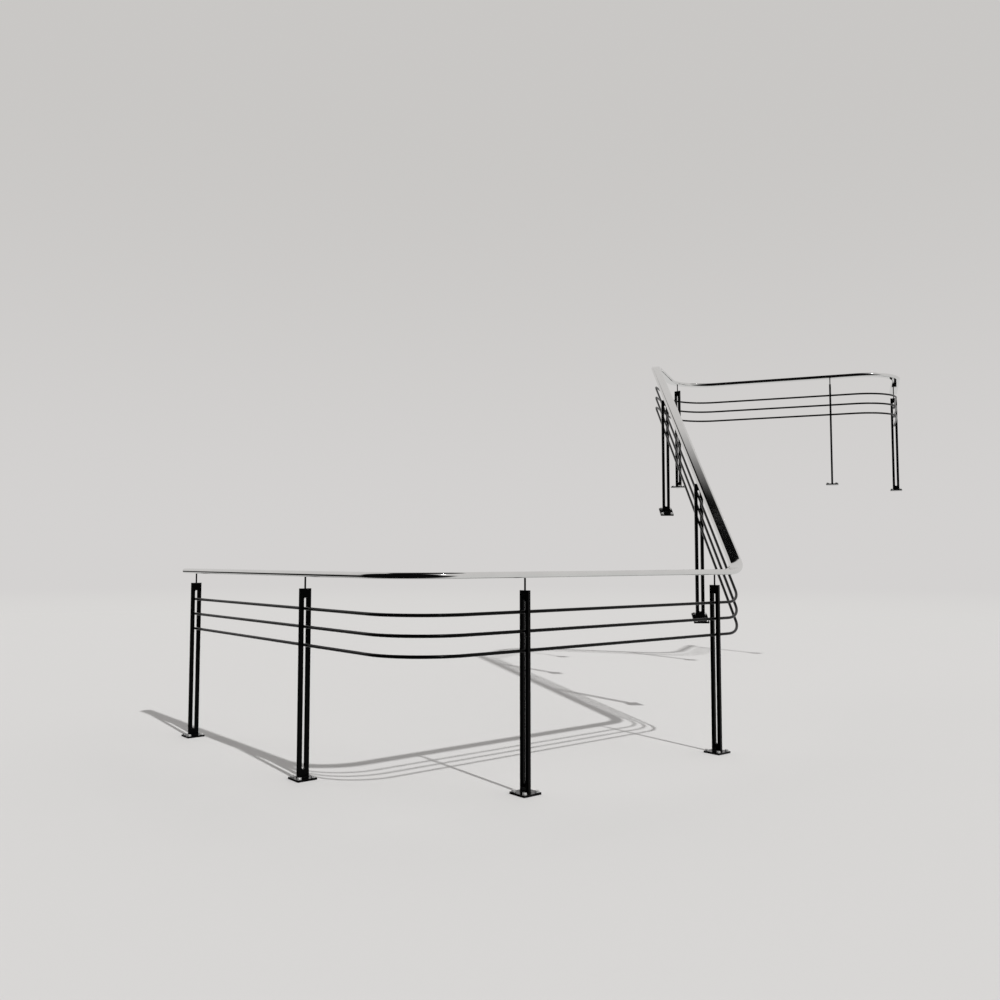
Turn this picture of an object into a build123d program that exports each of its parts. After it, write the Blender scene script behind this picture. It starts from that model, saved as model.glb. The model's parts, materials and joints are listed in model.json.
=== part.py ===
from build123d import *
import os
from math import atan2, cos, degrees, radians, sin, tan

# Railing for two landings and the flight between them.
# The origin is on the lower floor at the centre of the first post's base plate.
# +X runs along the first straight, +Z is up, and all sizes are in millimetres.

# Set-out of the railing line, seen from above
post_spacing = 1410             # first to second post, and third to fourth
second_post_to_corner = 905
corner_to_third_post = 650
fourth_post_to_foot = 230
foot_to_fifth_post = 1005
fifth_to_sixth_post = 1175
sixth_post_to_head = 430
head_to_upper_corner = 1034
seventh_post_turn = 27          # degrees into the upper corner's bend
upper_corner_to_eighth_post = 1408
eighth_post_to_last_corner = 570
last_corner_to_ninth_post = 982

# Turns of the line in degrees, to the left where positive
lower_corner_turn = 90
foot_turn = 51
head_turn = -22
upper_corner_turn = -90
last_corner_turn = 90

# The flight
riser = 175
riser_count = 10
slope_drop = 10                 # how far the slope lies below the line from foot to head

# Bends
lower_bend_radius = 315
flight_bend_radius = 200
upper_bend_radius = 360

# Posts
post_height = 926               # from the floor to the top of a post
post_width = 60
post_thickness = 16
post_edge = 1
slot_head = 45
slot_foot = 49                  # from the floor to the bottom of the slot
rail_clearance = 0.3

# Base plates
plate_side = 105
plate_thickness = 10
plate_corner = 3
plate_edge = 1
plate_hole = 14
plate_hole_spacing = 75

# Handrail, an oval tube
handrail_gap = 57               # from the top of a post to the underside of the handrail
handrail_width = 80
handrail_depth = 30
handrail_wall = 2
handrail_overhang = 120         # past the first and the last post
cap_thickness = 3
cap_edge = 1
cap_plug_length = 20
cap_clearance = 0.2

# Spigots between the posts and the handrail
spigot_diameter = 9
spigot_seat_depth = 15          # how far a spigot goes into its post
spigot_clearance = 0.1

# Round rails
rail_diameter = 16
top_rail_drop = 99              # from the top of a post to the centre of the top rail
rail_spacing = 89
rail_overhang = 20              # past the centre of the first and the last post
rail_edge = 1

# Worked out from the sizes above
rise = riser * riser_count
flight_run = foot_to_fifth_post + fifth_to_sixth_post + sixth_post_to_head
pitch = degrees(atan2(rise, flight_run))
slot_width = rail_diameter + 2 * rail_clearance
slot_length = post_height - slot_head - slot_foot
rail_heights = {
    "top": post_height - top_rail_drop,
    "middle": post_height - top_rail_drop - rail_spacing,
    "bottom": post_height - top_rail_drop - 2 * rail_spacing,
}
handrail_centre = post_height + handrail_gap + handrail_depth / 2

os.makedirs("parts", exist_ok=True)


def along(heading, incline=0):
    """The direction of the railing line at a heading and an incline."""
    level = cos(radians(incline))
    return Vector(level * cos(radians(heading)), level * sin(radians(heading)), sin(radians(incline)))


def step(start, heading, distance, climb=0):
    """The point that lies a distance along a heading, and a climb above the start."""
    return start + along(heading) * distance + Vector(0, 0, climb)


# Headings of the straights, and the corners where they meet
first_heading = 0
second_heading = first_heading + lower_corner_turn
flight_heading = second_heading + foot_turn
third_heading = flight_heading + head_turn
fourth_heading = third_heading + upper_corner_turn
last_heading = fourth_heading + last_corner_turn

post_a = Vector(0, 0, 0)
post_b = step(post_a, first_heading, post_spacing)
lower_corner = step(post_b, first_heading, second_post_to_corner)
post_c = step(lower_corner, second_heading, corner_to_third_post)
post_d = step(post_c, second_heading, post_spacing)
foot = step(post_d, second_heading, fourth_post_to_foot)
post_e = step(foot, flight_heading, foot_to_fifth_post, rise * foot_to_fifth_post / flight_run)
post_f = step(post_e, flight_heading, fifth_to_sixth_post, rise * fifth_to_sixth_post / flight_run)
head = step(foot, flight_heading, flight_run, rise)
upper_corner = step(head, third_heading, head_to_upper_corner)
post_h = step(upper_corner, fourth_heading, upper_corner_to_eighth_post)
last_corner = step(post_h, fourth_heading, eighth_post_to_last_corner)
post_i = step(last_corner, last_heading, last_corner_to_ninth_post)

# The seventh post stands in the bend of the upper corner
bend_start = step(upper_corner, third_heading, -upper_bend_radius * tan(radians(abs(upper_corner_turn) / 2)))
bend_centre = step(bend_start, third_heading - 90, upper_bend_radius)
seventh_heading = third_heading - seventh_post_turn
post_g = step(bend_centre, seventh_heading + 90, upper_bend_radius)

posts = {
    "a": (post_a, first_heading, 0),
    "b": (post_b, first_heading, 0),
    "c": (post_c, second_heading, 0),
    "d": (post_d, second_heading, 0),
    "e": (post_e, flight_heading, pitch),
    "f": (post_f, flight_heading, pitch),
    "g": (post_g, seventh_heading, 0),
    "h": (post_h, fourth_heading, 0),
    "i": (post_i, last_heading, 0),
}


def square_plane(point, heading, incline=0):
    """A plane square to the line of the railing, with X to its left and Y up."""
    return Plane(origin=point, x_dir=along(heading + 90), z_dir=along(heading, incline))


def ground_plane(point, heading, incline=0):
    """A plane that lies on the floor or on the slope, with X along the railing."""
    forward = along(heading, incline)
    return Plane(origin=point, x_dir=forward, z_dir=forward.cross(along(heading + 90)))


def raised(point, height):
    return point + Vector(0, 0, height)


def footing(point, incline):
    """The middle of the underside of a post's base plate."""
    return raised(point, -slope_drop) if incline else point


def save(part, name):
    part.label = name
    export_step(part, f"parts/{name}.step")


def make_base_plate(name, point, heading, incline):
    ground = ground_plane(footing(point, incline), heading, incline)
    with BuildPart() as base_plate:
        with BuildSketch(ground) as outline:
            Rectangle(plate_side, plate_side)
            fillet(outline.vertices(), plate_corner)
        extrude(amount=plate_thickness)
        top_face = base_plate.faces().sort_by(Axis(ground.origin, ground.z_dir))[-1]
        chamfer(top_face.edges(), plate_edge)
        with BuildSketch(ground):
            with GridLocations(plate_hole_spacing, plate_hole_spacing, 2, 2):
                Circle(plate_hole / 2)
        extrude(amount=plate_thickness, mode=Mode.SUBTRACT)
    save(base_plate.part, f"base_plate_{name}")


def make_post(name, point, heading, incline):
    ground = footing(point, incline)
    slot_centre = (post_height - slot_head + slot_foot) / 2
    with BuildPart() as post:
        with BuildSketch(square_plane(ground, heading)):
            with Locations((0, post_height / 2)):
                Rectangle(post_width, post_height)
            with Locations((0, slot_centre)):
                SlotOverall(slot_length, slot_width, rotation=90, mode=Mode.SUBTRACT)
        extrude(amount=post_thickness / 2, both=True)
        broad_faces = post.faces().filter_by(Plane(origin=point, z_dir=along(heading)))
        chamfer(broad_faces.edges(), post_edge)
        split(bisect_by=ground_plane(ground, heading, incline).offset(plate_thickness), keep=Keep.TOP)
        with BuildSketch(Plane.XY.offset(ground.Z + post_height)):
            with Locations((point.X, point.Y)):
                Circle(spigot_diameter / 2 + spigot_clearance)
        extrude(amount=-spigot_seat_depth, mode=Mode.SUBTRACT)
    save(post.part, f"post_{name}")


def make_spigot(name, point, heading, incline):
    seat = footing(point, incline).Z + post_height - spigot_seat_depth
    underside = ground_plane(raised(point, handrail_centre), heading, incline).offset(-handrail_depth / 2)
    with BuildPart() as spigot:
        with BuildSketch(Plane.XY.offset(seat)):
            with Locations((point.X, point.Y)):
                Circle(spigot_diameter / 2)
        extrude(amount=point.Z + handrail_centre - seat)
        split(bisect_by=underside, keep=Keep.BOTTOM)
    save(spigot.part, f"spigot_{name}")


def make_rail(name, corners, radii, start, rounded_end=None):
    """A round bar bent to the given corners. A free end has its edge taken off."""
    with BuildPart() as rail:
        with BuildLine() as route:
            FilletPolyline(*corners, radius=radii)
        with BuildSketch(start):
            Circle(rail_diameter / 2)
        sweep(path=route.wires()[0])
        if rounded_end is not None:
            end_face = rail.faces().filter_by(GeomType.PLANE).sort_by_distance(rounded_end)[0]
            chamfer(end_face.edges(), rail_edge)
    save(rail.part, name)


def oval(plane, inset, mode=Mode.ADD):
    """The handrail's section on a plane, or its bore where there is an inset."""
    with BuildSketch(plane, mode=mode) as section:
        SlotOverall(handrail_width - 2 * inset, handrail_depth - 2 * inset)
    return section.sketch


def make_handrail(name, corners, radii, start, bend=None):
    """A length of the oval tube, with the bend of the flight that is welded to it."""
    with BuildPart() as handrail:
        for inset, mode in ((0, Mode.ADD), (handrail_wall, Mode.SUBTRACT)):
            with BuildLine(mode=Mode.PRIVATE) as route:
                FilletPolyline(*corners, radius=radii) if radii else Line(*corners)
            sweep(sections=oval(start, inset, Mode.PRIVATE), path=route.wires()[0], mode=mode)
            if bend is not None:
                sweep_bend(*bend, inset, mode)
    save(handrail.part, name)


def sweep_bend(corner, first, second, inset, mode):
    """A bend between two directions, each a heading and an incline, with its top face up."""
    reach = bend_reach(first, second)
    start = corner - along(*first) * reach
    end = corner + along(*second) * reach
    with BuildLine(mode=Mode.PRIVATE) as route:
        TangentArc(start, end, tangent=along(*first))
    sections = [
        oval(square_plane(point, *direction), inset, Mode.PRIVATE)
        for point, direction in ((start, first), (end, second))
    ]
    sweep(sections=sections, path=route.wires()[0], multisection=True, mode=mode)


def bend_reach(first, second):
    """How far a flight bend reaches from its corner along each straight."""
    turn = along(*first).get_angle(along(*second))
    return flight_bend_radius * tan(radians(turn) / 2)


def make_end_cap(name, point, heading):
    """A cap on the open end of the handrail, facing along the heading."""
    with BuildPart() as cap:
        with BuildSketch(square_plane(point, heading)):
            SlotOverall(handrail_width, handrail_depth)
        extrude(amount=cap_thickness)
        chamfer(cap.faces().sort_by(Axis(point, along(heading)))[-1].edges(), cap_edge)
        inset = handrail_wall + cap_clearance
        with BuildSketch(square_plane(point, heading)):
            SlotOverall(handrail_width - 2 * inset, handrail_depth - 2 * inset)
        extrude(amount=-cap_plug_length)
    save(cap.part, name)


for name, place in posts.items():
    make_base_plate(name, *place)
    make_post(name, *place)
    make_spigot(name, *place)

# The round rails run through the slots, in three lengths that meet inside posts D and F
for level, height in rail_heights.items():
    lower_route = [step(post_a, first_heading, -rail_overhang), lower_corner, post_d]
    flight_route = [post_d, foot, post_f]
    upper_route = [post_f, head, upper_corner, last_corner, step(post_i, last_heading, rail_overhang)]
    lower_route, flight_route, upper_route = (
        [raised(point, height) for point in route] for route in (lower_route, flight_route, upper_route)
    )
    make_rail(
        f"rail_{level}_lower", lower_route, [lower_bend_radius],
        square_plane(lower_route[0], first_heading), lower_route[0],
    )
    make_rail(
        f"rail_{level}_flight", flight_route, [flight_bend_radius],
        square_plane(flight_route[0], second_heading),
    )
    make_rail(
        f"rail_{level}_upper", upper_route, [flight_bend_radius, upper_bend_radius, upper_bend_radius],
        square_plane(upper_route[0], flight_heading, pitch), upper_route[-1],
    )

# The handrail is an oval tube in three lengths, and the bends of the flight belong to the level ones
level_second = (second_heading, 0)
sloping = (flight_heading, pitch)
level_third = (third_heading, 0)
handrail_foot = raised(foot, handrail_centre)
handrail_head = raised(head, handrail_centre)
handrail_start = raised(step(post_a, first_heading, -handrail_overhang), handrail_centre)
handrail_end = raised(step(post_i, last_heading, handrail_overhang), handrail_centre)
foot_reach = bend_reach(level_second, sloping)
head_reach = bend_reach(sloping, level_third)
foot_bend_start = step(handrail_foot, second_heading, -foot_reach)
head_bend_end = step(handrail_head, third_heading, head_reach)
flight_start = handrail_foot + along(*sloping) * foot_reach
flight_end = handrail_head - along(*sloping) * head_reach

make_handrail(
    "handrail_lower",
    [handrail_start, raised(lower_corner, handrail_centre), foot_bend_start],
    [lower_bend_radius],
    square_plane(handrail_start, first_heading),
    (handrail_foot, level_second, sloping),
)
make_handrail("handrail_flight", [flight_start, flight_end], [], square_plane(flight_start, *sloping))
make_handrail(
    "handrail_upper",
    [head_bend_end, raised(upper_corner, handrail_centre), raised(last_corner, handrail_centre), handrail_end],
    [upper_bend_radius, upper_bend_radius],
    square_plane(head_bend_end, *level_third),
    (handrail_head, sloping, level_third),
)
make_end_cap("end_cap_lower", handrail_start, first_heading + 180)
make_end_cap("end_cap_upper", handrail_end, last_heading)
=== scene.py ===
import json
from math import cos, pi, radians, sin, tan

import bpy
from bpy.props import FloatProperty, FloatVectorProperty, PointerProperty
from mathutils import Matrix, Vector


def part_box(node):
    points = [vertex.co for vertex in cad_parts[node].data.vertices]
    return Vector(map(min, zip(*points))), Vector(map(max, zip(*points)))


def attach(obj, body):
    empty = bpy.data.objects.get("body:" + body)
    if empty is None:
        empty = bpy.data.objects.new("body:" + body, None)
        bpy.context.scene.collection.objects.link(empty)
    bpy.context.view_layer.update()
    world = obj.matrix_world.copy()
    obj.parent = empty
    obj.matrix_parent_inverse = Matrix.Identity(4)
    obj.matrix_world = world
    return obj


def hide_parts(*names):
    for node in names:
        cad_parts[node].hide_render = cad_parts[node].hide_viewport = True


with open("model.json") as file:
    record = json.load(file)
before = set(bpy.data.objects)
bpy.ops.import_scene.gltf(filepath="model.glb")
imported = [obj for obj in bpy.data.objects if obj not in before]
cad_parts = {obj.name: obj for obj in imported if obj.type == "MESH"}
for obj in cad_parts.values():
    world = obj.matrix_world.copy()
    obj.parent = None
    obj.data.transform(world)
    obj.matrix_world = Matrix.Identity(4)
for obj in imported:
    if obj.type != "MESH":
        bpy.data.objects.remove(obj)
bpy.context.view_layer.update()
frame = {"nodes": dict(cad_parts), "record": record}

bl_info = {
    "name": "Stair Railing",
    "version": (1, 0, 0),
    "blender": (4, 5, 0),
    "location": "View3D > Sidebar > Railing",
    "description": "A stair railing with slotted posts, round rails and a polished oval handrail",
    "category": "Object",
}

BODY = "root"
LEVELS = ("top", "middle", "bottom")
LENGTHS = ("lower", "flight", "upper")
POST_LETTERS = "abcdefghi"
MOUNTS = {mount["name"]: mount for mount in frame["record"]["mounts"]}

# The straight that each post stands on, counted from the first
POST_STRAIGHTS = {"a": 0, "b": 0, "c": 1, "d": 1, "e": 2, "f": 2, "g": 3, "h": 4, "i": 5}
BEND_POST = "g"
FLIGHT_STRAIGHT = 2

UP = Vector((0, 0, 1))
SQUARE_CORNERS = ((1, 1), (-1, 1), (-1, -1), (1, -1))

# How finely the pieces are drawn
BEND_STEPS = 24
OVAL_STEPS = 10
BAR_STEPS = 8
EDGE_SEGMENTS = 3
BEAD_ORDER = 3
BEAD_STEPS = 2
BEAD_ROUND_STEPS = 3
SPIGOT_SIDES = 16
SHANK_SIDES = 24
WASHER_SIDES = 40
HEAD_SIDES = 6
FLOOR_SIDES = 96
MERGE_DISTANCE = 0.00001
SMOOTH_ANGLE = 40

# Rounding of a bolt's edges, and degrees that each head is turned on from the one before
WASHER_EDGE = 0.0004
HEAD_EDGE = 0.0009
HEAD_TURN = 25

# Dark parts of the studio that the steel mirrors. A part lies overhead, or towards a heading in
# degrees. It starts and is complete where a ray's share in that direction has these two values.
DARK_HEADING = 280
DARK_OVERHEAD = (0.839, 0.875)
DARK_SIDE = (0.28, 0.48)
DARK_SIDE_BELOW = (-0.12, 0.18)
BELOW_HORIZON = (0.02, -0.02)

# The backdrop that the camera sees, by height, and the floor, by metres from the first post
BACKDROP_FADE = (0.0, 0.45)
FLOOR_GLOW = (9.0, 15.0)
FLOOR_FADE = (12.0, 34.0)

SENSOR_WIDTH = 36
VIEW_DISTANCE = 200
LAMP_HEIGHT = 6

# Sockets of a Mix node that mixes colours
MIX_SHARE, MIX_FIRST, MIX_SECOND = 0, 6, 7
MIX_RESULT = 2


# Sizes and colours that a user would change

class RailingLine(bpy.types.PropertyGroup):
    """The line of the railing seen from above, from the first post to the last."""

    straights: FloatVectorProperty(
        name="Straights", size=6, unit="LENGTH", default=(2.315, 2.29, 2.61, 1.034, 1.978, 0.982),
        description="Level length of each straight, from corner to corner",
    )
    turns: FloatVectorProperty(
        name="Turns", size=5, default=(90, 51, -22, -90, 90),
        description="Turn at each corner in degrees, to the left where positive",
    )
    bend_radii: FloatVectorProperty(
        name="Bend radii", size=5, unit="LENGTH", default=(0.315, 0.2, 0.2, 0.36, 0.36),
        description="Radius of the bend at each corner",
    )
    rise: FloatProperty(
        name="Rise", unit="LENGTH", default=1.75, description="Climb of the flight",
    )
    bend_post_turn: FloatProperty(
        name="Bend post turn", default=27,
        description="Degrees that the seventh post stands into its bend",
    )


class HandrailSizes(bpy.types.PropertyGroup):
    """The oval tube on top."""

    height: FloatProperty(
        name="Height", unit="LENGTH", default=1.013,
        description="From the floor to the top of the tube",
    )
    width: FloatProperty(
        name="Width", unit="LENGTH", default=0.08, description="Width of the oval",
    )
    depth: FloatProperty(
        name="Depth", unit="LENGTH", default=0.03, description="Depth of the oval",
    )
    overhang: FloatProperty(
        name="Overhang", unit="LENGTH", default=0.12,
        description="Length past the centre of an end post",
    )


class RoundRailSizes(bpy.types.PropertyGroup):
    """The three round bars that run through the slots."""

    diameter: FloatProperty(
        name="Diameter", unit="LENGTH", default=0.016, description="Diameter of a bar",
    )
    top_height: FloatProperty(
        name="Top height", unit="LENGTH", default=0.827,
        description="From the floor to the top bar's centre",
    )
    spacing: FloatProperty(
        name="Spacing", unit="LENGTH", default=0.089,
        description="From one bar's centre to the next",
    )
    overhang: FloatProperty(
        name="Overhang", unit="LENGTH", default=0.02,
        description="Length past the centre of an end post",
    )
    edge: FloatProperty(
        name="Edge", unit="LENGTH", default=0.001,
        description="Rounding of the edge at a bar's free end",
    )


class WeldSizes(bpy.types.PropertyGroup):
    """The small beads where the posts and the spigots are welded."""

    foot_bead: FloatProperty(
        name="Foot bead", unit="LENGTH", default=0.0025,
        description="Radius of the bead round a post's foot",
    )
    spigot_bead: FloatProperty(
        name="Spigot bead", unit="LENGTH", default=0.0012,
        description="Radius of the bead under the handrail",
    )
    ripple: FloatProperty(
        name="Ripple", unit="LENGTH", default=0.0016,
        description="Distance from one ripple of a bead to the next",
    )
    ripple_depth: FloatProperty(
        name="Ripple depth", subtype="FACTOR", default=0.1,
        description="Depth of a ripple as a share of the bead",
    )
    post_width: FloatProperty(
        name="Post width", unit="LENGTH", default=0.06, description="Width of a post",
    )
    post_thickness: FloatProperty(
        name="Post thickness", unit="LENGTH", default=0.016, description="Thickness of a post",
    )
    plate_thickness: FloatProperty(
        name="Plate thickness", unit="LENGTH", default=0.01,
        description="Thickness of a base plate",
    )


class FixingSizes(bpy.types.PropertyGroup):
    """The bolts that hold the base plates down."""

    spacing: FloatProperty(
        name="Spacing", unit="LENGTH", default=0.075,
        description="From one bolt's centre to the next",
    )
    shank: FloatProperty(
        name="Shank", unit="LENGTH", default=0.012, description="Diameter of a shank",
    )
    across_flats: FloatProperty(
        name="Across flats", unit="LENGTH", default=0.019,
        description="Width of a six-sided head",
    )
    head_height: FloatProperty(
        name="Head height", unit="LENGTH", default=0.0075, description="Height of a head",
    )
    washer: FloatProperty(
        name="Washer", unit="LENGTH", default=0.022, description="Diameter of a washer",
    )
    washer_thickness: FloatProperty(
        name="Washer thickness", unit="LENGTH", default=0.0016,
        description="Thickness of a washer",
    )


class FinishColours(bpy.types.PropertyGroup):
    """Colours of the paint, the polished steel and the stage."""

    paint: FloatVectorProperty(
        name="Paint", subtype="COLOR", default=(0.0012, 0.0012, 0.0012),
        description="Colour of the black paint",
    )
    sheen: FloatVectorProperty(
        name="Sheen", subtype="COLOR", default=(0.03, 0.03, 0.03),
        description="How much the paint shines head-on",
    )
    steel: FloatVectorProperty(
        name="Steel", subtype="COLOR", default=(0.80, 0.80, 0.79),
        description="Colour of the polished steel",
    )
    floor: FloatVectorProperty(
        name="Floor", subtype="COLOR", default=(0.643, 0.638, 0.631),
        description="Colour of the floor",
    )
    backdrop: FloatVectorProperty(
        name="Backdrop", subtype="COLOR", default=(0.658, 0.645, 0.638),
        description="Backdrop at the horizon",
    )
    backdrop_top: FloatVectorProperty(
        name="Backdrop top", subtype="COLOR", default=(0.585, 0.573, 0.56),
        description="Backdrop high up",
    )
    far_floor: FloatVectorProperty(
        name="Far floor", subtype="COLOR", default=(0.69, 0.68, 0.667),
        description="Colour of the floor far off",
    )
    ceiling: FloatVectorProperty(
        name="Ceiling", subtype="COLOR", default=(0.003, 0.003, 0.003),
        description="Dark part of the studio",
    )


class StudioSizes(bpy.types.PropertyGroup):
    """Where the camera and the lamp are, and how large the floor is."""

    camera: FloatVectorProperty(
        name="Camera", subtype="TRANSLATION", default=(5.5186, -2.145, 1.0676),
        description="Place of the camera",
    )
    heading: FloatProperty(
        name="Heading", default=140.457, description="Degrees from +X that the camera looks to",
    )
    pitch: FloatProperty(
        name="Pitch", default=3.726, description="Degrees that the camera looks up",
    )
    lens: FloatProperty(
        name="Lens", default=32.925, description="Focal length in millimetres on a 36 mm sensor",
    )
    sun_heading: FloatProperty(
        name="Sun heading", default=174.5, description="Degrees from +X that sunlight goes to",
    )
    sun_elevation: FloatProperty(
        name="Sun elevation", default=44.2, description="Degrees of the lamp above the floor",
    )
    sun_strength: FloatProperty(
        name="Sun strength", default=2.65, description="Strength of the lamp",
    )
    sun_size: FloatProperty(
        name="Sun size", default=1.2, description="Width of the lamp in degrees",
    )
    fill: FloatProperty(
        name="Fill", default=1.5, description="Strength of the studio's light on matt surfaces",
    )
    floor_radius: FloatProperty(
        name="Floor radius", unit="LENGTH", default=40, description="Radius of the floor",
    )


PROPERTY_GROUPS = {
    "railing_line": RailingLine,
    "railing_handrail": HandrailSizes,
    "railing_rails": RoundRailSizes,
    "railing_welds": WeldSizes,
    "railing_fixings": FixingSizes,
    "railing_colours": FinishColours,
    "railing_studio": StudioSizes,
}


# The line of the railing

def along(heading, climb=0.0):
    """The direction at a heading in degrees, climbing so much for each metre of run."""
    return Vector((cos(radians(heading)), sin(radians(heading)), climb)).normalized()


def headings(line):
    """Heading of each straight in degrees."""
    found = [0.0]
    for turn in line.turns:
        found.append(found[-1] + turn)
    return found


def route(line, height, overhang):
    """Corners of a line at a height above the floor, run on past the first and the last post."""
    place = Vector((0, 0, height))
    points = [place - along(0) * overhang]
    last = len(line.straights) - 1
    for index, (heading, length) in enumerate(zip(headings(line), line.straights)):
        place = place + along(heading) * (length + (overhang if index == last else 0))
        if index == FLIGHT_STRAIGHT:
            place.z += line.rise
        points.append(place)
    return points


def post_foot(letter):
    """The middle of a base plate's underside, and the plate's upward normal."""
    mount = MOUNTS[f"fixing_{letter}"]
    return Vector(mount["pos_m"]), Vector(mount["axis"]).normalized()


def post_heading(line, letter):
    heading = headings(line)[POST_STRAIGHTS[letter]]
    if letter == BEND_POST:
        heading -= line.bend_post_turn
    return heading


def plate_matrix(line, letter, centre):
    """A frame on a plate's slope: X along the railing, Y to its left, Z square to the plate."""
    normal = post_foot(letter)[1]
    left = along(post_heading(line, letter) + 90)
    forward = left.cross(normal)
    return Matrix.Translation(centre) @ Matrix((forward, left, normal)).transposed().to_4x4()


# Helpers for modelling

def only(piece):
    """Select one piece and nothing else."""
    bpy.ops.object.select_all(action="DESELECT")
    piece.select_set(True)
    bpy.context.view_layer.objects.active = piece


def arc_handle(radius, turn):
    """Length of the handles of a Bezier curve that draws an arc through a turn in radians."""
    return radius * tan(turn / 4) * 4 / 3


def bezier(name, places, cyclic=False):
    """A curve object. Each place is a point with the handles behind it and ahead of it."""
    bpy.ops.object.select_all(action="DESELECT")
    bpy.ops.curve.primitive_bezier_curve_add(location=(0, 0, 0))
    curve = bpy.context.object
    curve.name = name
    spline = curve.data.splines[0]
    spline.bezier_points.add(len(places) - len(spline.bezier_points))
    for point, (place, behind, ahead) in zip(spline.bezier_points, places):
        point.handle_left_type = "FREE"
        point.handle_right_type = "FREE"
        point.co = place
        point.handle_left = behind
        point.handle_right = ahead
    spline.use_cyclic_u = cyclic
    return curve


def bent_line(name, corners, radii):
    """A curve along straight runs with a round bend at each inner corner."""
    places = []
    for before, corner, after, radius in zip(corners, corners[1:], corners[2:], radii):
        arriving = (corner - before).normalized()
        leaving = (after - corner).normalized()
        turn = arriving.angle(leaving)
        reach = radius * tan(turn / 2)
        handle = arc_handle(radius, turn)
        start = corner - arriving * reach
        end = corner + leaving * reach
        places.append((start, start - arriving * handle, start + arriving * handle))
        places.append((end, end - leaving * handle, end + leaving * handle))
    first = (corners[0], corners[0], corners[0].lerp(places[0][0], 1 / 3))
    last = (corners[-1], corners[-1].lerp(places[-1][0], 1 / 3), corners[-1])
    curve = bezier(name, [first] + places + [last])
    curve.data.dimensions = "3D"
    curve.data.twist_mode = "Z_UP"
    curve.data.resolution_u = BEND_STEPS
    return curve


def oval_profile(width, depth):
    """The outline of the oval: flat above and below, with half-round sides."""
    radius = depth / 2
    flat = width / 2 - radius
    handle = arc_handle(radius, pi / 2)
    third = flat * 2 / 3
    places = [
        ((flat, radius), (flat - third, radius), (flat + handle, radius)),
        ((flat + radius, 0), (flat + radius, handle), (flat + radius, -handle)),
        ((flat, -radius), (flat + handle, -radius), (flat - third, -radius)),
        ((-flat, -radius), (third - flat, -radius), (-flat - handle, -radius)),
        ((-flat - radius, 0), (-flat - radius, -handle), (-flat - radius, handle)),
        ((-flat, radius), (-flat - handle, radius), (third - flat, radius)),
    ]
    places = [[(x, y, 0) for x, y in place] for place in places]
    profile = bezier("oval_profile", places, cyclic=True)
    profile.data.dimensions = "2D"
    profile.data.resolution_u = OVAL_STEPS
    return profile


def to_mesh(curve):
    """Turn a curve into a mesh with its doubles merged and its faces outwards."""
    only(curve)
    bpy.ops.object.convert(target="MESH")
    piece = bpy.context.object
    bpy.ops.object.mode_set(mode="EDIT")
    bpy.ops.mesh.select_all(action="SELECT")
    bpy.ops.mesh.remove_doubles(threshold=MERGE_DISTANCE)
    bpy.ops.mesh.normals_make_consistent(inside=False)
    bpy.ops.object.mode_set(mode="OBJECT")
    return piece


def round_end_edges(piece, size):
    """Round the edge of the flat face at each free end of a bar."""
    only(piece)
    bpy.ops.object.mode_set(mode="EDIT")
    bpy.ops.mesh.select_all(action="DESELECT")
    bpy.ops.object.mode_set(mode="OBJECT")
    for face in piece.data.polygons:
        face.select = len(face.vertices) > 4
    bpy.ops.object.mode_set(mode="EDIT")
    bpy.ops.mesh.select_mode(type="FACE")
    bpy.ops.mesh.region_to_loop()
    bpy.ops.mesh.bevel(offset=size, segments=EDGE_SEGMENTS, affect="EDGES")
    bpy.ops.object.mode_set(mode="OBJECT")


def finish_piece(piece, material, nodes=()):
    """Shade a piece, give it its finish and let it ride on the railing."""
    only(piece)
    bpy.ops.object.shade_smooth_by_angle(angle=radians(SMOOTH_ANGLE))
    piece.data.materials.clear()
    piece.data.materials.append(material)
    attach(piece, BODY)
    if nodes:
        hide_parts(*nodes)


# Shader maths

class Wire:
    """A value in a material. The usual signs add the nodes that work it out."""

    def __init__(self, finish, socket):
        self.finish = finish
        self.socket = socket

    def maths(self, operation, *values):
        return self.finish.node("ShaderNodeMath", {"operation": operation}, *values)

    def __add__(self, other):
        return self.maths("ADD", self, other)

    def __sub__(self, other):
        return self.maths("SUBTRACT", self, other)

    def __mul__(self, other):
        return self.maths("MULTIPLY", self, other)

    def __radd__(self, other):
        return self.maths("ADD", other, self)

    def __rsub__(self, other):
        return self.maths("SUBTRACT", other, self)

    def __rmul__(self, other):
        return self.maths("MULTIPLY", other, self)

    def between(self, low, high):
        """0 up to the first value, 1 from the second on, and smooth between them."""
        settings = {"interpolation_type": "SMOOTHSTEP"}
        return self.finish.node("ShaderNodeMapRange", settings, self, low, high, 0.0, 1.0)


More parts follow.
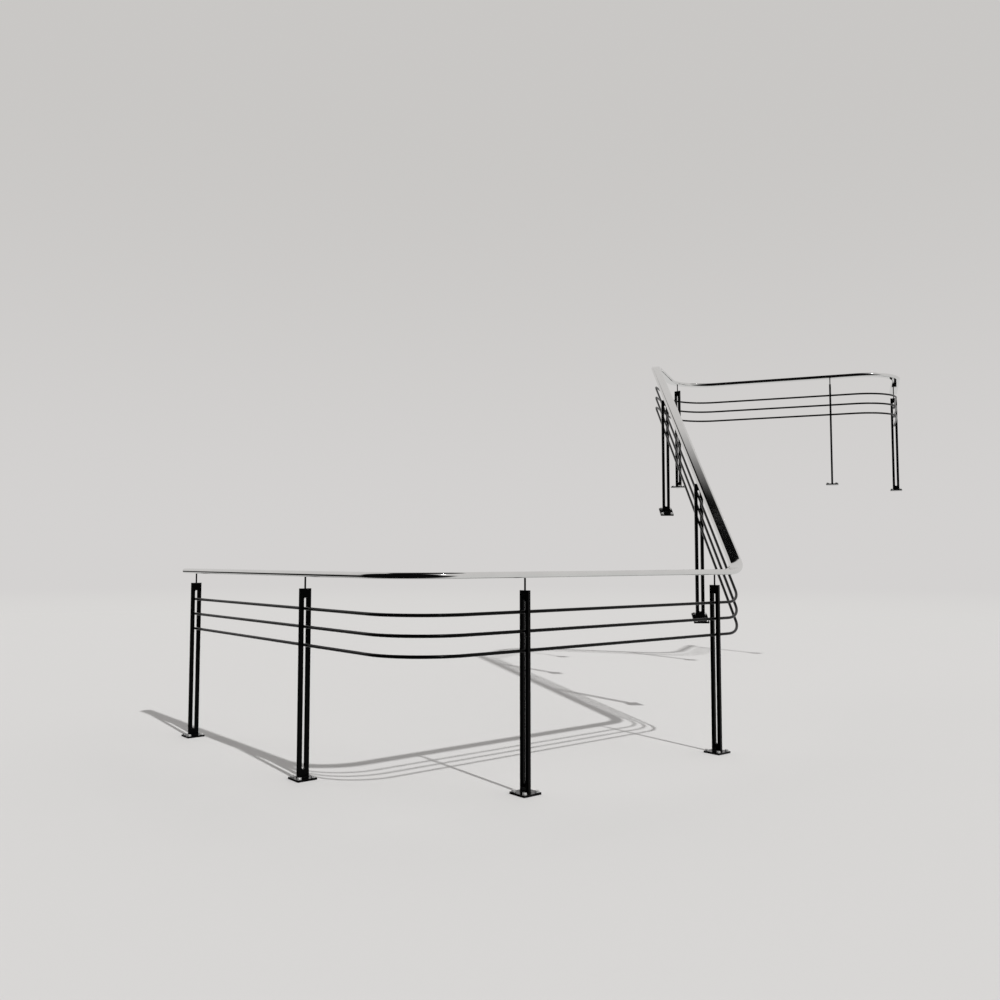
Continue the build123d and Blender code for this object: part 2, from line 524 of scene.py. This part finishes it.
class Finish:
    """The nodes of one material or of the world."""

    def __init__(self, owner):
        owner.use_nodes = True
        self.tree = owner.node_tree
        self.tree.nodes.clear()

    def feed(self, socket, value):
        """Link a socket to a wire, or set its value."""
        if isinstance(value, Wire):
            self.tree.links.new(value.socket, socket)
        else:
            socket.default_value = value

    def add(self, kind, settings, *values, **named):
        """A node of a kind, with its settings and the values or links of its sockets."""
        node = self.tree.nodes.new(kind)
        for name, value in settings.items():
            setattr(node, name, value)
        for index, value in enumerate(values):
            self.feed(node.inputs[index], value)
        for name, value in named.items():
            self.feed(node.inputs[name.replace("_", " ")], value)
        return node

    def node(self, kind, settings, *values, output=0, **named):
        """What comes out of a new node."""
        return Wire(self, self.add(kind, settings, *values, **named).outputs[output])

    def place(self):
        """Object coordinates."""
        return self.node("ShaderNodeTexCoord", {}, output="Object")

    def noise(self, place, scale, detail=2.0, roughness=0.5):
        return self.node(
            "ShaderNodeTexNoise", {}, Vector=place, Scale=scale, Detail=detail,
            Roughness=roughness,
        )

    def mix_colour(self, share, first, second):
        node = self.add("ShaderNodeMix", {"data_type": "RGBA"})
        for index, value in ((MIX_SHARE, share), (MIX_FIRST, first), (MIX_SECOND, second)):
            self.feed(node.inputs[index], value)
        return Wire(self, node.outputs[MIX_RESULT])

    def bump(self, height, strength, distance):
        return self.node(
            "ShaderNodeBump", {}, Strength=strength, Distance=distance, Height=height,
        )

    def surface(self, **named):
        shader = self.node("ShaderNodeBsdfPrincipled", {}, **named)
        self.add("ShaderNodeOutputMaterial", {}, Surface=shader)


def colour(values, share=1.0):
    return tuple(value * share for value in values) + (1.0,)


def new_finish(name):
    material = bpy.data.materials.new(name)
    return material, Finish(material)


def black_paint():
    """Satin black powder coat with a fine orange peel."""
    material, finish = new_finish("satin_black_paint")
    colours = bpy.context.scene.railing_colours
    place = finish.place()
    drift = finish.noise(place, scale=7.0, detail=3.0)
    peel = finish.noise(place, scale=430.0, detail=1.0)
    speck = finish.noise(place, scale=1600.0, detail=1.0)
    shade = finish.mix_colour(
        drift.between(0.35, 0.65), colour(colours.paint, 0.8), colour(colours.paint, 1.25),
    )
    finish.surface(
        Base_Color=shade,
        Roughness=0.12 + 0.08 * drift + 0.04 * speck,
        Specular_Tint=colour(colours.sheen),
        Normal=finish.bump(peel + 0.3 * speck, strength=0.15, distance=0.00012),
    )
    return material


def weld_paint():
    """The same paint over a rougher bead."""
    material, finish = new_finish("painted_weld")
    colours = bpy.context.scene.railing_colours
    grit = finish.noise(finish.place(), scale=900.0, detail=3.0)
    shade = finish.mix_colour(
        grit.between(0.3, 0.7), colour(colours.paint, 0.7), colour(colours.paint, 1.5),
    )
    finish.surface(
        Base_Color=shade,
        Roughness=0.28 + 0.14 * grit,
        Specular_Tint=colour(colours.sheen),
        Normal=finish.bump(grit, strength=0.5, distance=0.0003),
    )
    return material


def polished_steel():
    """Mirror-polished steel with faint wipe marks and fine polishing lines."""
    material, finish = new_finish("polished_steel")
    steel = bpy.context.scene.railing_colours.steel
    place = finish.place()
    wipes = finish.noise(place, scale=5.0, detail=4.0, roughness=0.6)
    fine = finish.noise(place, scale=700.0)
    shade = finish.mix_colour(wipes.between(0.3, 0.7), colour(steel, 0.97), colour(steel, 1.02))
    finish.surface(
        Base_Color=shade,
        Metallic=1.0,
        Roughness=0.035 + 0.05 * wipes.between(0.35, 0.75) + 0.015 * fine,
        Normal=finish.bump(fine, strength=0.04, distance=0.00002),
    )
    return material


def bolt_steel():
    """Zinc-plated steel, duller than the handrail."""
    material, finish = new_finish("bolt_steel")
    steel = bpy.context.scene.railing_colours.steel
    grime = finish.noise(finish.place(), scale=260.0, detail=3.0)
    shade = finish.mix_colour(grime.between(0.35, 0.7), colour(steel, 0.7), colour(steel, 0.55))
    finish.surface(
        Base_Color=shade,
        Metallic=0.4,
        Roughness=0.24 + 0.08 * grime,
        Normal=finish.bump(grime, strength=0.1, distance=0.00005),
    )
    return material


# Operators

class RAILING_OT_handrail(bpy.types.Operator):
    """The polished oval tube, one welded and polished line over the whole railing"""

    bl_idname = "railing.handrail"
    bl_label = "Handrail"

    def execute(self, context):
        sizes = context.scene.railing_handrail
        line = context.scene.railing_line
        profile = oval_profile(sizes.width, sizes.depth)
        corners = route(line, sizes.height - sizes.depth / 2, sizes.overhang)
        tube = bent_line("handrail_tube", corners, line.bend_radii)
        tube.data.bevel_mode = "OBJECT"
        tube.data.bevel_object = profile
        tube.data.use_fill_caps = True
        tube = to_mesh(tube)
        bpy.data.objects.remove(profile)
        nodes = [f"handrail_{length}" for length in LENGTHS]
        finish_piece(tube, polished_steel(), nodes)
        return {"FINISHED"}


class RAILING_OT_round_rails(bpy.types.Operator):
    """The three round bars that run through the slots"""

    bl_idname = "railing.round_rails"
    bl_label = "Round Rails"

    def execute(self, context):
        sizes = context.scene.railing_rails
        line = context.scene.railing_line
        paint = black_paint()
        for index, level in enumerate(LEVELS):
            corners = route(line, sizes.top_height - index * sizes.spacing, sizes.overhang)
            rail = bent_line(f"round_rail_{level}", corners, line.bend_radii)
            rail.data.bevel_depth = sizes.diameter / 2
            rail.data.bevel_resolution = BAR_STEPS
            rail.data.use_fill_caps = True
            rail = to_mesh(rail)
            round_end_edges(rail, sizes.edge)
            nodes = [f"rail_{level}_{length}" for length in LENGTHS]
            finish_piece(rail, paint, nodes)
        return {"FINISHED"}


def bead(name, outline, matrix, radius, sizes):
    """A closed weld bead along an outline of points, with ripples along its length."""
    ends = outline[1:] + outline[:1]
    lengths = [(end - start).length for start, end in zip(outline, ends)]
    count = 2 * round(sum(lengths) / sizes.ripple)
    places = []
    for index in range(count):
        distance = sum(lengths) * index / count
        side = 0
        while distance > lengths[side]:
            distance -= lengths[side]
            side += 1
        places.append(outline[side].lerp(ends[side], distance / lengths[side]))
    bpy.ops.object.select_all(action="DESELECT")
    bpy.ops.curve.primitive_nurbs_path_add(location=(0, 0, 0))
    curve = bpy.context.object
    curve.name = name
    spline = curve.data.splines[0]
    spline.points.add(count - len(spline.points))
    for index, (point, place) in enumerate(zip(spline.points, places)):
        point.co = (*(matrix @ place), 1)
        point.radius = 1 + sizes.ripple_depth * (1 if index % 2 else -1)
    spline.use_endpoint_u = False
    spline.use_cyclic_u = True
    spline.order_u = BEAD_ORDER
    spline.resolution_u = BEAD_STEPS
    curve.data.resolution_u = BEAD_STEPS
    curve.data.bevel_depth = radius
    curve.data.bevel_resolution = BEAD_ROUND_STEPS
    return to_mesh(curve)


class RAILING_OT_welds(bpy.types.Operator):
    """The weld beads round the posts' feet and under the handrail"""

    bl_idname = "railing.welds"
    bl_label = "Weld Beads"

    def execute(self, context):
        line = context.scene.railing_line
        sizes = context.scene.railing_welds
        paint = weld_paint()
        for letter in POST_LETTERS:
            finish_piece(self.foot_weld(line, sizes, letter), paint)
            finish_piece(self.spigot_weld(line, sizes, letter), paint)
        return {"FINISHED"}

    def foot_weld(self, line, sizes, letter):
        """The bead round a post where it stands on its plate."""
        foot, normal = post_foot(letter)
        centre = foot + UP * sizes.plate_thickness / normal.z
        half_length = sizes.post_thickness / 2 / normal.z
        half_width = sizes.post_width / 2
        outline = [Vector((x * half_length, y * half_width, 0)) for x, y in SQUARE_CORNERS]
        matrix = plate_matrix(line, letter, centre)
        return bead(f"foot_weld_{letter}", outline, matrix, sizes.foot_bead, sizes)

    def spigot_weld(self, line, sizes, letter):
        """The bead round a spigot where it meets the underside of the handrail."""
        normal = post_foot(letter)[1]
        low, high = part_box(f"spigot_{letter}")
        radius = (high.x - low.x) / 2
        top = Vector(((low.x + high.x) / 2, (low.y + high.y) / 2, high.z))
        # On the slope, the spigot's highest point lies on its uphill side
        if normal.z < 1:
            top.z -= radius * (1 - normal.z ** 2) ** 0.5 / normal.z
        turns = [2 * pi * share / SPIGOT_SIDES for share in range(SPIGOT_SIDES)]
        outline = [Vector((radius / normal.z * cos(turn), radius * sin(turn), 0)) for turn in turns]
        matrix = plate_matrix(line, letter, top)
        return bead(f"spigot_weld_{letter}", outline, matrix, sizes.spigot_bead, sizes)


class RAILING_OT_fixings(bpy.types.Operator):
    """The bright bolts and washers in the base plates"""

    bl_idname = "railing.fixings"
    bl_label = "Fixings"

    def execute(self, context):
        line = context.scene.railing_line
        steel = bolt_steel()
        pattern = self.make_pattern(context)
        for letter in POST_LETTERS:
            only(pattern)
            bpy.ops.object.duplicate()
            bolts = bpy.context.object
            bolts.name = f"bolts_{letter}"
            bolts.matrix_world = plate_matrix(line, letter, post_foot(letter)[0])
            bpy.ops.object.transform_apply(location=True, rotation=True, scale=True)
            finish_piece(bolts, steel)
        bpy.data.objects.remove(pattern)
        return {"FINISHED"}

    def make_pattern(self, context):
        """The four bolts of one plate, round the middle of its underside."""
        sizes = context.scene.railing_fixings
        thickness = context.scene.railing_welds.plate_thickness
        pieces = []
        for count, (x, y) in enumerate(SQUARE_CORNERS, start=1):
            centre = Vector((x, y, 0)) * sizes.spacing / 2
            pieces += self.make_bolt(sizes, centre, thickness, HEAD_TURN * count)
        bpy.ops.object.select_all(action="DESELECT")
        for piece in pieces:
            piece.select_set(True)
        bpy.context.view_layer.objects.active = pieces[0]
        bpy.ops.object.join()
        return bpy.context.object

    def make_bolt(self, sizes, centre, thickness, turned):
        """A shank in its hole, a washer on the plate and a six-sided head on the washer."""
        washer_top = thickness + sizes.washer_thickness
        head_top = washer_top + sizes.head_height
        corner = sizes.across_flats / 2 / cos(pi / HEAD_SIDES)
        shank = self.make_round(centre, SHANK_SIDES, sizes.shank / 2, 0, thickness)
        washer = self.make_round(
            centre, WASHER_SIDES, sizes.washer / 2, thickness, washer_top, edge=WASHER_EDGE,
        )
        head = self.make_round(
            centre, HEAD_SIDES, corner, washer_top, head_top, turned, edge=HEAD_EDGE,
        )
        return [head, washer, shank]

    def make_round(self, centre, sides, radius, low, high, turned=0, edge=0.0):
        """A disc or prism between two heights, with its sharp edges rounded."""
        bpy.ops.object.select_all(action="DESELECT")
        bpy.ops.mesh.primitive_cylinder_add(
            vertices=sides, radius=radius, depth=high - low,
            location=centre + UP * (low + high) / 2, rotation=(0, 0, radians(turned)),
        )
        piece = bpy.context.object
        bpy.ops.object.transform_apply(location=True, rotation=True, scale=True)
        if edge:
            bevel = piece.modifiers.new("edge", "BEVEL")
            bevel.width = edge
            bevel.segments = EDGE_SEGMENTS
            bevel.limit_method = "ANGLE"
            bpy.ops.object.modifier_apply(modifier="edge")
        return piece


class RAILING_OT_steelwork(bpy.types.Operator):
    """The finish of the posts, plates, spigots and end caps"""

    bl_idname = "railing.steelwork"
    bl_label = "Steelwork Finish"

    def execute(self, context):
        paint = bpy.data.materials["satin_black_paint"]
        steel = bpy.data.materials["polished_steel"]
        for name, node in frame["nodes"].items():
            polished = name.startswith(("handrail", "end_cap"))
            node.data.materials.clear()
            node.data.materials.append(steel if polished else paint)
        return {"FINISHED"}


class RAILING_OT_stage(bpy.types.Operator):
    """The floor, the studio's light and the camera"""

    bl_idname = "railing.stage"
    bl_label = "Stage"

    def execute(self, context):
        studio = context.scene.railing_studio
        self.make_floor(context)
        self.light_world(context)
        self.hang_sun(studio)
        bpy.ops.object.camera_add(location=studio.camera)
        camera = context.object
        camera.name = "camera"
        camera.rotation_euler = (radians(90 + studio.pitch), 0, radians(studio.heading - 90))
        camera.data.sensor_width = SENSOR_WIDTH
        camera.data.lens = studio.lens
        camera.data.clip_end = VIEW_DISTANCE
        context.scene.camera = camera
        context.scene.view_settings.view_transform = "Standard"
        return {"FINISHED"}

    def hang_sun(self, studio):
        bpy.ops.object.select_all(action="DESELECT")
        bpy.ops.object.light_add(type="SUN", location=(0, 0, LAMP_HEIGHT))
        sun = bpy.context.object
        sun.name = "sun"
        sun.data.energy = studio.sun_strength
        sun.data.angle = radians(studio.sun_size)
        lowered = along(studio.sun_heading, -tan(radians(studio.sun_elevation)))
        sun.rotation_euler = lowered.to_track_quat("-Z", "Y").to_euler()

    def make_floor(self, context):
        """A matt floor that keeps the shadow, and glows far off as the backdrop does."""
        studio = context.scene.railing_studio
        colours = context.scene.railing_colours
        bpy.ops.object.select_all(action="DESELECT")
        bpy.ops.mesh.primitive_circle_add(
            vertices=FLOOR_SIDES, radius=studio.floor_radius, fill_type="NGON",
        )
        floor = context.object
        floor.name = "floor"
        floor.visible_glossy = False
        material, finish = new_finish("pale_floor")
        far = finish.node(
            "ShaderNodeVectorMath", {"operation": "LENGTH"}, finish.place(), output="Value",
        )
        lit = finish.node("ShaderNodeBsdfDiffuse", {}, Color=colour(colours.floor))
        shade = finish.mix_colour(
            far.between(*FLOOR_FADE), colour(colours.far_floor), colour(colours.backdrop),
        )
        glow = finish.node("ShaderNodeEmission", {}, Color=shade, Strength=1.0)
        surface = finish.node("ShaderNodeMixShader", {}, far.between(*FLOOR_GLOW), lit, glow)
        finish.add("ShaderNodeOutputMaterial", {}, Surface=surface)
        floor.data.materials.append(material)

    def light_world(self, context):
        """The camera sees a plain backdrop, and all else gets the studio with its dark parts."""
        colours = context.scene.railing_colours
        fill = context.scene.railing_studio.fill
        world = bpy.data.worlds.new("studio")
        context.scene.world = world
        finish = Finish(world)
        pale, floor, dark = (
            colour(values) for values in (colours.backdrop, colours.floor, colours.ceiling)
        )
        direction = finish.node("ShaderNodeTexCoord", {}, output="Generated")
        split = finish.add("ShaderNodeSeparateXYZ", {}, direction)
        x, y, height = (Wire(finish, split.outputs[axis]) for axis in "XYZ")
        dark_side = along(DARK_HEADING)
        facing = x * dark_side.x + y * dark_side.y
        shade = finish.mix_colour(height.between(*DARK_OVERHEAD), pale, dark)
        shade = finish.mix_colour(facing.between(*DARK_SIDE), shade, dark)
        below = finish.mix_colour(facing.between(*DARK_SIDE_BELOW), floor, dark)
        shade = finish.mix_colour(height.between(*BELOW_HORIZON), shade, below)
        path = finish.add("ShaderNodeLightPath", {})
        mirrored = Wire(finish, path.outputs["Is Glossy Ray"])
        seen = Wire(finish, path.outputs["Is Camera Ray"])
        strength = fill - (fill - 1) * mirrored
        lit = finish.node("ShaderNodeBackground", {}, Color=shade, Strength=strength)
        backdrop = finish.mix_colour(
            height.between(*BACKDROP_FADE), pale, colour(colours.backdrop_top),
        )
        plain = finish.node("ShaderNodeBackground", {}, Color=backdrop, Strength=1.0)
        surface = finish.node("ShaderNodeMixShader", {}, seen, lit, plain)
        finish.add("ShaderNodeOutputWorld", {}, Surface=surface)


OPERATORS = (
    RAILING_OT_handrail,
    RAILING_OT_round_rails,
    RAILING_OT_welds,
    RAILING_OT_fixings,
    RAILING_OT_steelwork,
    RAILING_OT_stage,
)


class RAILING_PT_panel(bpy.types.Panel):
    """Lists the steps that dress the railing"""

    bl_idname = "RAILING_PT_panel"
    bl_label = "Railing"
    bl_space_type = "VIEW_3D"
    bl_region_type = "UI"
    bl_category = "Railing"

    def draw(self, context):
        for operator in OPERATORS:
            self.layout.operator(operator.bl_idname)
        for name, group in PROPERTY_GROUPS.items():
            box = self.layout.box()
            box.label(text=group.__doc__)
            for prop in group.__annotations__:
                box.prop(getattr(context.scene, name), prop)


def register():
    for name, group in PROPERTY_GROUPS.items():
        bpy.utils.register_class(group)
        setattr(bpy.types.Scene, name, PointerProperty(type=group))
    for operator in OPERATORS:
        bpy.utils.register_class(operator)
    bpy.utils.register_class(RAILING_PT_panel)


def unregister():
    bpy.utils.unregister_class(RAILING_PT_panel)
    for operator in reversed(OPERATORS):
        bpy.utils.unregister_class(operator)
    for name, group in reversed(PROPERTY_GROUPS.items()):
        delattr(bpy.types.Scene, name)
        bpy.utils.unregister_class(group)


def main():
    register()
    bpy.ops.railing.handrail()
    bpy.ops.railing.round_rails()
    bpy.ops.railing.welds()
    bpy.ops.railing.fixings()
    bpy.ops.railing.steelwork()
    bpy.ops.railing.stage()


if __name__ == "__main__":
    main()
